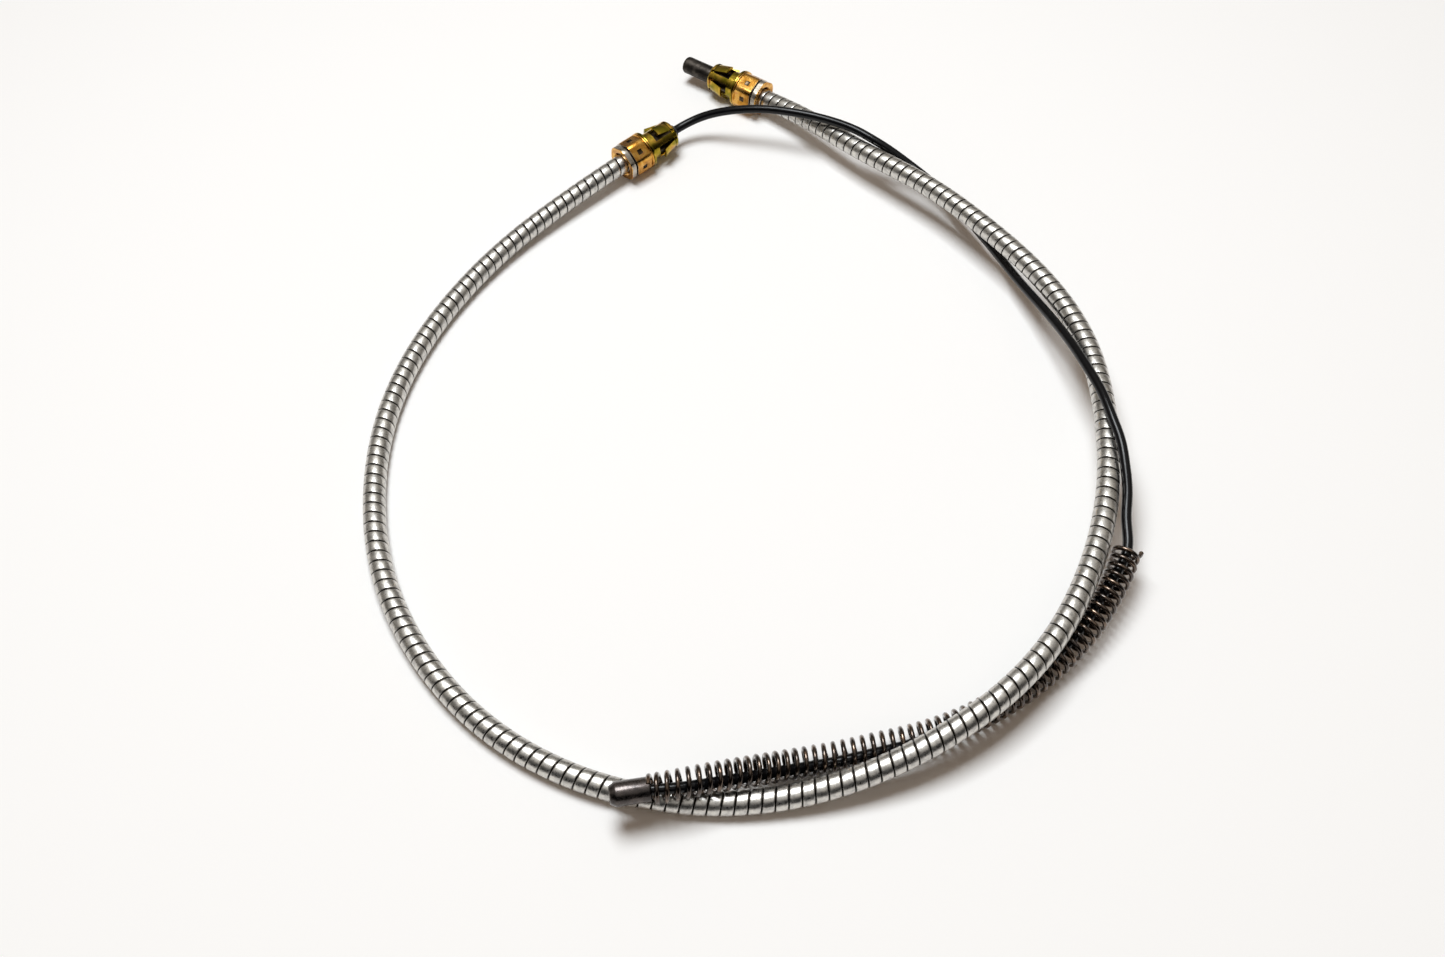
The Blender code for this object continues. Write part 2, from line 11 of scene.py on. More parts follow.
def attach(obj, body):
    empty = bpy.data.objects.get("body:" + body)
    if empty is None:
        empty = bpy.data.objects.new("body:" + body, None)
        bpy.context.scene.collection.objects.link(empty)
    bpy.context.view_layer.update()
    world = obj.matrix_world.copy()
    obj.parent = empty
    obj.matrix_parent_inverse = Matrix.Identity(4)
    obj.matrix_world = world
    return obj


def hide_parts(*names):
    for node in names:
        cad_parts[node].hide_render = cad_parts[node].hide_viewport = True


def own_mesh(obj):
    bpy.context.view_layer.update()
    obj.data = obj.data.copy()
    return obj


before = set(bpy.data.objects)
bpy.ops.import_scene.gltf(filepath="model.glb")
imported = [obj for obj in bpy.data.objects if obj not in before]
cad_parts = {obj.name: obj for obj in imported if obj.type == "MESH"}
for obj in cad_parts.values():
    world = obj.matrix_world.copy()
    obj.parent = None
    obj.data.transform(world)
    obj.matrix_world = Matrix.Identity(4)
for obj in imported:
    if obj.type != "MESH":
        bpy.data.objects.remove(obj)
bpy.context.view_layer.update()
MM = 0.001

# ---------------------------------------------------------------- sizes and places, millimetres
CONDUIT_OD, STRIP_PITCH, CONDUIT_SEAT = 11.0, 5.67, 12.0
# One strip's outside along a turn: place and depth below the conduit's outside
STRIP_FACE = [(0.0, -0.6), (0.24, -0.55), (0.36, -0.18), (0.5, -0.06), (0.85, -0.01), (2.8, 0.0),
              (4.8, -0.01), (5.12, -0.06), (5.26, -0.18), (5.40, -0.55), (STRIP_PITCH, -0.6)]
STRIP_STEPS = 28                                    # round one turn
SEAM_DARK_FROM, SEAM_DARK_FADE = 0.08, 0.2          # depths at which the seam's darkening sets in

CABLE_OD, CABLE_LEAN = 4.8, 2.2                     # lean: off the spring's axis, inside it
WIRE_OD, COIL_RADIUS, CURLS, POINTS_PER_CURL = 2.1, 5.8, 60, 28
END_PITCH, END_FLARE = 3.3, 1.1                     # closed end curls; the cut end stands out

# Along a fitting from its back; R is a radius, OD a diameter
RING_R, RING_FLATS, RING_LENGTH, GROOVE_OD = 10.3, 19.2, 3.1, 15.0
COLLAR_START, COLLAR_OD, COLLAR_FLATS = 4.2, 21.2, 19.4
RIM_START, RIM_OD, RIM_END = 14.4, 21.4, 15.7
SPIGOT_R, SPIGOT_END = 6.5, 33.7
CONDUIT_PLAY, BORE_R, BORE_START = 0.5, 3.5, 12.3
MOUTH_FLARE, MOUTH_LENGTH = 1.5, 1.5
SEAL_BORE_R, SEAL_BORE_START = 4.3, 28.4
MARK_SIZE, MARK_ROUND, MARK_RISE, MARK_PLACE = 3.0, 0.35, 1.1, 9.3

FLANGE_START, SLEEVE_START, NOSE, NOSE_ROUND = 16.0, 17.3, 36.3, 1.6
SLEEVE_OD, SLEEVE_BORE, NOSE_HOLE, NOSE_WALL = 16.5, 6.85, 9.2, 2.3
FINGER_ANGLE, FINGER_LENGTH, FINGER_SPLAY, FINGER_ROOT = 47.0, 9.3, 15.0, 33.3
SLOT_SIDE, SLOT_TIP, SLOT_PAST_ROOT = 1.3, 1.9, 0.6
SLOT_END_R, SLOT_END_DEPTH = 1.2, 2.8

SEAL_PLAY, SEAL_R, SEAL_START, SEAL_SHOULDER, LIP_R = 0.25, 4.0, 28.7, 33.4, 3.7
WHEEL_END_LIP, FRAME_END_LIP = 2.7, -0.675          # how far the seal's lip passes the nose

STRAND_BORE_R, STRAND_BORE_DEPTH, BACK_CHAMFER = 1.9, 10, 0.6
PLUG_R, PLUG_LENGTH, PLUG_TAPER = 5.3, 17.4, 2.6
PLUG_RISE, PLUG_BACK, PLUG_TILT, PLUG_TRAVEL = 0.7, 0.6, 0.08, 25.0
BARREL_R, BARREL_LENGTH, BARREL_TAPER, BARREL_GAP = 5.0, 20.0, 1.0, 0.3

MERGE = 0.0005                                      # corners closer than this are one

# Back of each fitting, and its heading and rise in degrees
WHEEL_END = ((-55.1, 153.0, 10.7), 38.0, 1.6)
FRAME_END = ((29.3, 201.9, 10.8), 141.6, 0.0)

CONDUIT_ROUTE = [
    (-81.5, 131.5, 9.2), (-115.5, 100.5, 6.8), (-144, 64.5, 5.3), (-165, 24, 5),
    (-177, -20, 5), (-178.5, -66, 5), (-170, -111.5, 5), (-150.5, -153, 5),
    (-122, -188.5, 5.05), (-85, -215, 5.1), (-42.5, -230.5, 5.3), (3.5, -234, 5.8),
    (49, -226.5, 11.9), (90.5, -209, 18.8), (126, -181, 20.9), (152.5, -143.5, 22.2),
    (170, -100.5, 22.7), (178, -55.5, 22.9), (177.5, -10, 22.9), (164, 33.5, 23),
    (140.5, 73.5, 22.8), (113, 110, 21.6), (81, 143.5, 19), (52, 178.5, 14.5),
]
CABLE_ROUTE = [
    (-9.5, 183, 15.2), (4, 181.5, 20.1), (17, 178.5, 23.5), (30.5, 175, 25.4),
    (42.5, 171, 26.1), (56.5, 165.5, 26.3), (69.5, 158.5, 26.4), (79.5, 151.5, 26.2),
    (87, 146, 24.7), (95.5, 140.5, 21.7), (104.5, 134.5, 17.5), (116, 123.5, 13.7),
    (127, 108, 11.3), (137, 88, 10.5), (145, 68.5, 11.2), (152, 48, 13.2),
    (158.5, 27.5, 17.1), (164.5, 6.5, 22.1), (169.5, -15.5, 27.5), (173, -34, 31.1),
    (176, -50, 32.7), (178, -65.5, 32.2), (179.5, -76.5, 30.7), (179.5, -89, 28.1),
    (178.5, -102.5, 24.3), (176, -115, 21.1),
]
SPRING_ROUTE = [
    (174, -129, 18.7), (167.5, -141.5, 16.6), (159.5, -153, 14.2), (150.5, -164, 11.8),
    (140.5, -173.5, 9.6), (129.5, -182, 7.8), (117.5, -190, 6.7), (105, -197, 6.5),
    (92, -203, 6.5), (79, -207.5, 6.5), (65, -211, 6.5), (51, -213.5, 6.5),
    (37, -216, 6.5), (23, -218, 6.7), (9, -220.5, 8.9), (-4.5, -223.5, 12.2),
    (-18, -226.5, 15.5), (-32, -229.5, 17.7), (-46, -231.5, 17.9),
]


def fitting_axes(place):
    """A fitting's back and its directions: upper, side and along."""
    back, heading, rise = place
    heading, rise = math.radians(heading), math.radians(rise)
    axis = Vector((math.cos(heading) * math.cos(rise), math.sin(heading) * math.cos(rise),
                   math.sin(rise)))
    upper = (Vector((0, 0, 1)) - axis * axis.z).normalized()
    return Vector(back), upper, axis.cross(upper), axis


def on_axis(place, distance):
    """A point on a fitting's axis, so far from its back."""
    back, _, _, axis = fitting_axes(place)
    return tuple(back + axis * distance)


def fitting_matrix(place):
    """Turns a shape made in millimetres on +Z into its place on a fitting, in metres."""
    back, upper, side, axis = fitting_axes(place)
    turned = Matrix((upper, side, axis)).transposed().to_4x4()
    return Matrix.Translation(back * MM) @ turned @ Matrix.Scale(MM, 4)


def natural_spline(points):
    """A smooth curve through points: place by share of length, its length, each point's share."""
    knots = np.array(points, float)
    run = np.linalg.norm(np.diff(knots, axis=0), axis=1)
    at = np.concatenate([[0.0], np.cumsum(run)])
    size = len(knots)
    system, right = np.eye(size), np.zeros((size, 3))
    for i in range(1, size - 1):
        system[i, i - 1:i + 2] = (run[i - 1], 2 * (run[i - 1] + run[i]), run[i])
        right[i] = 6 * ((knots[i + 1] - knots[i]) / run[i] - (knots[i] - knots[i - 1]) / run[i - 1])
    bend = np.linalg.solve(system, right)

    def at_run(value):
        i = np.clip(np.searchsorted(at, value) - 1, 0, size - 2)
        a, b, h = (at[i + 1] - value)[:, None], (value - at[i])[:, None], run[i][:, None]
        return ((bend[i] * a ** 3 + bend[i + 1] * b ** 3) / (6 * h)
                + (knots[i] / h - bend[i] * h / 6) * a
                + (knots[i + 1] / h - bend[i + 1] * h / 6) * b)

    value = np.linspace(0, at[-1], 40 * size)
    steps = np.linalg.norm(np.diff(at_run(value), axis=0), axis=1)
    length = np.concatenate([[0.0], np.cumsum(steps)])

    def by_share(share):
        return at_run(np.interp(np.atleast_1d(share) * length[-1], length, value))

    return by_share, length[-1], np.interp(at, value, length) / length[-1]


def route_frames(curve, share):
    """Centres and unit directions (side, upper) of a route at many shares of its length."""
    centre = curve(share)
    ahead = curve(np.minimum(share + 0.0005, 1)) - curve(np.maximum(share - 0.0005, 0))
    ahead /= np.linalg.norm(ahead, axis=1)[:, None]
    side = np.cross((0, 0, 1), ahead)
    side /= np.linalg.norm(side, axis=1)[:, None]
    return centre, side, np.cross(ahead, side)


def linked(name, data):
    """A new object in the scene."""
    made = bpy.data.objects.new(name, data)
    bpy.context.scene.collection.objects.link(made)
    return made


def smooth(mesh, sharp):
    """Shade smooth, but for edges sharper than an angle in degrees."""
    mesh.shade_smooth()
    mesh.set_sharp_from_angle(angle=math.radians(sharp))


# ------------------------------------------------------------------------------------ camera
TILT_DOWN, ROLL, LENS = 54.91, -3.37, 35.69         # degrees, degrees, mm on a 36 mm sensor
EYE = (-0.0082, -0.469, 0.5771)                     # metres


def make_camera():
    """The photograph's camera: looking down from above the near edge, turned a little."""
    tilt, roll = math.radians(TILT_DOWN), math.radians(ROLL)
    ahead = Vector((0, math.cos(tilt), -math.sin(tilt)))
    right, up = Vector((1, 0, 0)), Vector((0, math.sin(tilt), math.cos(tilt)))
    x = right * math.cos(roll) + up * math.sin(roll)
    y = up * math.cos(roll) - right * math.sin(roll)
    data = bpy.data.cameras.new("camera")
    data.sensor_width = 36
    data.lens = LENS
    data.clip_start = 0.01
    camera = linked("camera", data)
    camera.matrix_world = (Matrix.Translation(EYE)
                           @ Matrix((x, y, -ahead)).transposed().to_4x4())
    bpy.context.scene.camera = camera


make_camera()


# ------------------------------------------------------------------------------------ cords
def wire_curve(name, points, diameter, resolution):
    """A round wire or cable along points in millimetres: one open POLY spline, in metres."""
    data = bpy.data.curves.new(name, "CURVE")
    data.dimensions = "3D"
    data.bevel_depth = diameter / 2 * MM
    data.bevel_resolution = resolution
    data.use_fill_caps = True
    spline = data.splines.new("POLY")
    spline.points.add(len(points) - 1)
    flat = np.c_[np.array(points) * MM, np.ones(len(points))]
    spline.points.foreach_set("co", flat.ravel())
    spline.use_smooth = True
    return linked(name, data)


def as_mesh(curve_object):
    """The same wire as a smooth mesh, which can be squashed."""
    bpy.context.view_layer.update()
    depsgraph = bpy.context.evaluated_depsgraph_get()
    mesh = bpy.data.meshes.new_from_object(curve_object.evaluated_get(depsgraph))
    name = curve_object.name
    bpy.data.objects.remove(curve_object)
    bm = bmesh.new()
    bm.from_mesh(mesh)
    bmesh.ops.remove_doubles(bm, verts=bm.verts, dist=0.000001)
    bmesh.ops.recalc_face_normals(bm, faces=bm.faces)
    bm.to_mesh(mesh)
    bm.free()
    smooth(mesh, 50)
    return linked(name, mesh)


def lying_in(route):
    """The cable's way in the spring: on the axis at both ends, and between them off it, inward
    at the far end, then below, then outward and low."""
    made = []
    last = len(route) - 1
    for i, point in enumerate(route):
        ahead = np.subtract(route[min(i + 1, last)], route[max(i - 1, 0)])
        outward = np.cross((0, 0, 1), ahead / np.linalg.norm(ahead))
        share = i / last
        lean = CABLE_LEAN * min(1, 10 * share, 12 * (1 - share))
        turn = math.radians(144) * min(max(share - 0.2, 0) / 0.4, 1)
        made.append(np.array(point) - lean * math.cos(turn) * outward
                    - (0, 0, lean * math.sin(turn)))
    return made


before = [on_axis(WHEEL_END, NOSE), on_axis(WHEEL_END, NOSE + 5), *CABLE_ROUTE]
cable, cable_length, cable_shares = natural_spline([*before, *lying_in(SPRING_ROUTE)])
mouth = cable_shares[len(before)]
free_cable = wire_curve("coated_cable", cable(np.linspace(0, mouth, 220)), CABLE_OD, 6)
tail_path = cable(np.linspace(mouth, 1 - 0.5 / cable_length, 150))
tail_cable = as_mesh(wire_curve("coated_cable_in_spring", tail_path, CABLE_OD, 6))


def coil_points():
    """The return spring's left-hand helix, its cut end standing out of the far turn. The wire
    starts nearly a quarter turn in."""
    curve, length, _ = natural_spline(SPRING_ROUTE)
    first, last = POINTS_PER_CURL // 4 - 1, CURLS * POINTS_PER_CURL
    turns = np.arange(first, last + 1) / POINTS_PER_CURL
    pitch = (length - 2 * END_PITCH) / (CURLS - 2)
    run = (np.minimum(turns, 1) * END_PITCH + np.clip(turns - 1, 0, CURLS - 2) * pitch
           + np.maximum(turns - CURLS + 1, 0) * END_PITCH)
    centre, side, upper = route_frames(curve, run / length)
    angle = 2 * math.pi * turns
    radius = COIL_RADIUS + END_FLARE * np.clip(1.0 - turns, 0, 1) ** 2
    return (centre + (np.cos(angle) * radius)[:, None] * upper
            + (np.sin(angle) * radius)[:, None] * side)


def rest_on_floor(made):
    """Press flat the little that would dip below the floor."""
    for vert in made.data.vertices:
        vert.co.z = max(vert.co.z, 0.0)


spring = as_mesh(wire_curve("return_spring_coil", coil_points(), WIRE_OD, 4))
rest_on_floor(spring)


# ------------------------------------------------------------------------------ mesh making
def spun(profile, turn=360.0, steps=96, start=0.0):
    """Turn a closed profile of (radius, height) points about Z."""
    bm = bmesh.new()
    face = bm.faces.new([bm.verts.new((radius, 0, height)) for radius, height in profile])
    bmesh.ops.rotate(bm, verts=bm.verts, cent=(0, 0, 0),
                     matrix=Matrix.Rotation(math.radians(start), 3, "Z"))
    if turn >= 360:
        edges = list(bm.edges)
        bmesh.ops.delete(bm, geom=[face], context="FACES_ONLY")
        bmesh.ops.spin(bm, geom=edges, cent=(0, 0, 0), axis=(0, 0, 1),
                       angle=math.radians(360), steps=steps, use_merge=True)
    else:
        bmesh.ops.spin(bm, geom=[face], cent=(0, 0, 0), axis=(0, 0, 1),
                       angle=math.radians(turn), steps=steps)
    return bm


def rounded(profile, size=0.25, corners=None):
    """The profile with its corners (all, or those listed) rounded by three points each."""
    made = []
    count = len(profile)
    for i, point in enumerate(profile):
        here = Vector(point)
        last, following = Vector(profile[i - 1]), Vector(profile[(i + 1) % count])
        if corners is not None and i not in corners:
            made.append(point)
            continue
        back, on = last - here, following - here
        reach = min(size, back.length * 0.45, on.length * 0.45)
        start, end = here + back.normalized() * reach, here + on.normalized() * reach
        middle = (start + end) / 4 + here / 2
        made += [tuple(start), tuple(middle), tuple(end)]
    return made


def press_flats(bm, low, high, flats, turn):
    """Press six flats into a turned length; the turned surface stays at their corners."""
    for vert in bm.verts:
        radius = math.hypot(vert.co.x, vert.co.y)
        if not low - 0.01 <= vert.co.z <= high + 0.01 or radius < flats / 2:
            continue
        angle = math.degrees(math.atan2(vert.co.y, vert.co.x)) - turn
        off_flat = math.radians((angle + 30) % 60 - 30)
        pressed = min(radius, flats / 2 / math.cos(off_flat))
        vert.co.x *= pressed / radius
        vert.co.y *= pressed / radius


def finish(name, bm, matrix, material, sharp=40):
    """Close, turn outwards, put in place and link a bmesh as a smooth-shaded object."""
    bmesh.ops.remove_doubles(bm, verts=bm.verts, dist=MERGE)
    bmesh.ops.dissolve_degenerate(bm, edges=bm.edges, dist=MERGE)
    bmesh.ops.recalc_face_normals(bm, faces=bm.faces)
    bm.transform(matrix)
    mesh = bpy.data.meshes.new(name)
    bm.to_mesh(mesh)
    bm.free()
    smooth(mesh, sharp)
    if material:
        mesh.materials.append(material)
    return linked(name, mesh)


def cut(target, cutters, sharp):
    """Cut closed objects out of one, leave their material on the cuts, and remove them."""
    bpy.context.view_layer.update()
    for tool in cutters:
        step = target.modifiers.new("cut", "BOOLEAN")
        step.operation, step.solver, step.object = "DIFFERENCE", "EXACT", tool
        step.material_mode = "TRANSFER"
    depsgraph = bpy.context.evaluated_depsgraph_get()
    mesh = bpy.data.meshes.new_from_object(target.evaluated_get(depsgraph))
    target.modifiers.clear()
    target.data = mesh
    smooth(mesh, sharp)
    for tool in cutters:
        bpy.data.objects.remove(tool)


# -------------------------------------------------------------------------------- materials
def linear(hex_colour):
    """A sRGB hex colour as linear RGBA."""
    channels = [int(hex_colour[i:i + 2], 16) / 255 for i in (1, 3, 5)]
    return tuple(c / 12.92 if c <= 0.04045 else ((c + 0.055) / 1.055) ** 2.4
                 for c in channels) + (1.0,)


def add(tree, kind, inputs=None, **settings):
    """Add a node: its settings, and for each input a value or an output socket to link."""
    made = tree.nodes.new(kind)
    for key, value in settings.items():
        setattr(made, key, value)
    for key, value in (inputs or {}).items():
        if isinstance(value, bpy.types.NodeSocket):
            tree.links.new(value, made.inputs[key])
        else:
            made.inputs[key].default_value = value
    return made


def principled(name, colour, metallic, roughness, ior=None):
    """A new material and its Principled shader, at plain values."""
    material = bpy.data.materials.new(name)
    material.use_nodes = True
    shader = material.node_tree.nodes["Principled BSDF"]
    shader.inputs["Base Color"].default_value = linear(colour)
    shader.inputs["Metallic"].default_value = metallic
    shader.inputs["Roughness"].default_value = roughness
    if ior:
        shader.inputs["IOR"].default_value = ior
    return material, material.node_tree, shader


def ramp(tree, value, stops):
    """A colour ramp over a value, with (place, sRGB hex) stops."""
    made = add(tree, "ShaderNodeValToRGB", {"Fac": value})
    elements = made.color_ramp.elements
    elements[0].position, elements[0].color = stops[0][0], linear(stops[0][1])
    elements[1].position, elements[1].color = stops[-1][0], linear(stops[-1][1])
    for place, colour in stops[1:-1]:
        elements.new(place).color = linear(colour)
    return made.outputs["Color"]


def galvanised_strip():
    """Galvanised steel strip: satin zinc, rubbed by handling, so that its highlights are broad
    and a little uneven; the helical seam darkens with its depth below the outside."""
    material, tree, shader = principled("galvanised_strip", "#C8C8C6", 1.0, 0.30)
    coord = add(tree, "ShaderNodeTexCoord").outputs["Object"]
    seam = add(tree, "ShaderNodeAttribute", attribute_name="seam").outputs["Fac"]
    # zinc spangle about 2 mm across: faint grey and cream patches
    cloud = add(tree, "ShaderNodeTexNoise", {"Vector": coord, "Scale": 450.0, "Detail": 3.0})
    zinc = ramp(tree, cloud.outputs["Fac"], [(0.3, "#ABA9A5"), (0.5, "#C9C6C1"), (0.7, "#DAD6CE")])
    # The seam darkens towards near black with its depth below the outside
    seam_darkened = add(tree, "ShaderNodeMix", {0: seam, 6: zinc, 7: linear("#1C1815")},
                data_type="RGBA", blend_type="MIX")
    tree.links.new(seam_darkened.outputs[2], shader.inputs["Base Color"])
    # rubbing marks about 0.7 mm across, coarser than real ones so that they show
    fine = add(tree, "ShaderNodeTexNoise", {"Vector": coord, "Scale": 1500.0, "Detail": 4.0})
    rough = add(tree, "ShaderNodeMapRange", {"Value": fine.outputs["Fac"], "From Min": 0.3,
                                             "From Max": 0.75, "To Min": 0.24, "To Max": 0.42})
    tree.links.new(rough.outputs["Result"], shader.inputs["Roughness"])
    bump = add(tree, "ShaderNodeBump", {"Height": cloud.outputs["Fac"], "Strength": 0.35,
                                        "Distance": 0.00012})
    bump = add(tree, "ShaderNodeBump", {"Height": fine.outputs["Fac"], "Strength": 0.3,
                                        "Distance": 0.00004, "Normal": bump.outputs["Normal"]})
    tree.links.new(bump.outputs["Normal"], shader.inputs["Normal"])
    return material


def yellow_zinc(name, stops, roughness):
    """Steel with yellow zinc dichromate plating: a thin iridescent film that drifts from gold to
    olive or pink over about 6 mm, on a turned or stamped surface with a soft gloss."""
    material, tree, shader = principled(name, stops[1][1], 1.0, roughness)
    coord = add(tree, "ShaderNodeTexCoord").outputs["Object"]
    drift = add(tree, "ShaderNodeTexNoise", {"Vector": coord, "Scale": 170.0, "Detail": 3.0,
                                             "Distortion": 0.6})
    film = ramp(tree, drift.outputs["Fac"], stops)
    tree.links.new(film, shader.inputs["Base Color"])
    # plating grain about 0.8 mm across, coarser than real
    fine = add(tree, "ShaderNodeTexNoise", {"Vector": coord, "Scale": 1300.0, "Detail": 4.0})
    rough = add(tree, "ShaderNodeMapRange", {"Value": fine.outputs["Fac"], "From Min": 0.3,
                                             "From Max": 0.75, "To Min": roughness - 0.08,
                                             "To Max": roughness + 0.12})
    tree.links.new(rough.outputs["Result"], shader.inputs["Roughness"])
    bump = add(tree, "ShaderNodeBump", {"Height": fine.outputs["Fac"], "Strength": 0.2,
                                        "Distance": 0.00005})
    tree.links.new(bump.outputs["Normal"], shader.inputs["Normal"])
    return material


def black_coating():
    """Extruded black nylon over a steel strand: deep black with a thin grey sheen, which waves
    faintly over about 4 mm."""
    material, tree, shader = principled("black_nylon_coating", "#0B0B0D", 0.0, 0.3, 1.53)
    shader.inputs["Specular IOR Level"].default_value = 0.2
    coord = add(tree, "ShaderNodeTexCoord").outputs["Object"]
    fine = add(tree, "ShaderNodeTexNoise", {"Vector": coord, "Scale": 260.0, "Detail": 4.0})
    rough = add(tree, "ShaderNodeMapRange", {"Value": fine.outputs["Fac"], "From Min": 0.3,
                                             "From Max": 0.7, "To Min": 0.12, "To Max": 0.26})
    tree.links.new(rough.outputs["Result"], shader.inputs["Roughness"])
    bump = add(tree, "ShaderNodeBump", {"Height": fine.outputs["Fac"], "Strength": 0.12,
                                        "Distance": 0.0001})
    tree.links.new(bump.outputs["Normal"], shader.inputs["Normal"])
    return material


def dark_metal(name, stops, roughness, grain, oil=0.0):
    """Bare, heat-treated or phosphated steel: its tone drifts over about 5 mm, its grit breaks
    up the highlights, and an oil film, where there is one, gives white glints."""
    material, tree, shader = principled(name, stops[1][1], 1.0, roughness)
    shader.inputs["Coat Weight"].default_value = oil
    shader.inputs["Coat Roughness"].default_value = 0.1
    coord = add(tree, "ShaderNodeTexCoord").outputs["Object"]
    drift = add(tree, "ShaderNodeTexNoise", {"Vector": coord, "Scale": 220.0, "Detail": 4.0})
    tree.links.new(ramp(tree, drift.outputs["Fac"], stops), shader.inputs["Base Color"])
    # grit about 0.6 mm across, coarser than real
    fine = add(tree, "ShaderNodeTexNoise", {"Vector": coord, "Scale": 1600.0, "Detail": 3.0})
    rough = add(tree, "ShaderNodeMapRange", {"Value": fine.outputs["Fac"], "From Min": 0.3,
                                             "From Max": 0.7, "To Min": roughness - 0.08,
                                             "To Max": roughness + 0.1})
    tree.links.new(rough.outputs["Result"], shader.inputs["Roughness"])
    bump = add(tree, "ShaderNodeBump", {"Height": fine.outputs["Fac"], "Strength": grain,
                                        "Distance": 0.00006})
    tree.links.new(bump.outputs["Normal"], shader.inputs["Normal"])
    return material


def black_rubber():
    """Moulded black rubber: matte, with dusty patches of about 1.5 mm."""
    material, tree, shader = principled("black_rubber_seal", "#17171A", 0.0, 0.55, 1.52)
    coord = add(tree, "ShaderNodeTexCoord").outputs["Object"]
    dust = add(tree, "ShaderNodeTexNoise", {"Vector": coord, "Scale": 700.0, "Detail": 3.0})
    tone = ramp(tree, dust.outputs["Fac"], [(0.35, "#121214"), (0.75, "#2A2A2E")])
    tree.links.new(tone, shader.inputs["Base Color"])
    bump = add(tree, "ShaderNodeBump", {"Height": dust.outputs["Fac"], "Strength": 0.2,
                                        "Distance": 0.00005})
    tree.links.new(bump.outputs["Normal"], shader.inputs["Normal"])
    return material


STRIP = galvanised_strip()
FERRULE_ZINC = yellow_zinc("yellow_zinc_ferrule", [(0.30, "#A06E28"), (0.45, "#C88E3C"),
                                                   (0.58, "#E0AE58"), (0.72, "#C67C4C")], 0.22)
CLIP_ZINC = yellow_zinc("yellow_zinc_clip", [(0.30, "#6E6A18"), (0.45, "#968226"),
                                             (0.60, "#C4A040"), (0.74, "#A87038")], 0.17)
# Bright steel colour: a painted highlight on the ferrule's rear ring and the groove's outer edges
PAINTED_HIGHLIGHT_STEEL = dark_metal("ring_steel_painted_highlight", [(0.3, "#8E867A"), (0.5, "#B8B0A4"),
                                            (0.7, "#D2CCC2")], 0.28, 0.3)
# Dark steel: in the punch marks, and as painted shade on the ferrule's groove floor and its spigot
DARK_STEEL_AND_SHADE = dark_metal("dark_steel_and_painted_shade", [(0.3, "#2A221A"), (0.5, "#463A2C"),
                                             (0.7, "#7A6C5A")], 0.36, 0.3)
COATING = black_coating()
WIRE = dark_metal("oil_tempered_wire", [(0.3, "#241B16"), (0.5, "#443529"), (0.72, "#7A624E")],
                  0.22, 0.2, 1.0)
PLUG_STEEL = dark_metal("gunmetal_plug", [(0.3, "#2E2A29"), (0.5, "#4A4442"), (0.7, "#625A56")],
                        0.30, 0.25, 0.3)
BARREL_STEEL = dark_metal("phosphated_barrel", [(0.3, "#221F1D"), (0.5, "#37332F"),
                                                (0.7, "#56504A")], 0.45, 0.5)
STRAND = dark_metal("bare_wire_strand", [(0.3, "#5A5856"), (0.5, "#8A8784"), (0.7, "#A8A5A0")],
                    0.38, 0.6)
RUBBER = black_rubber()


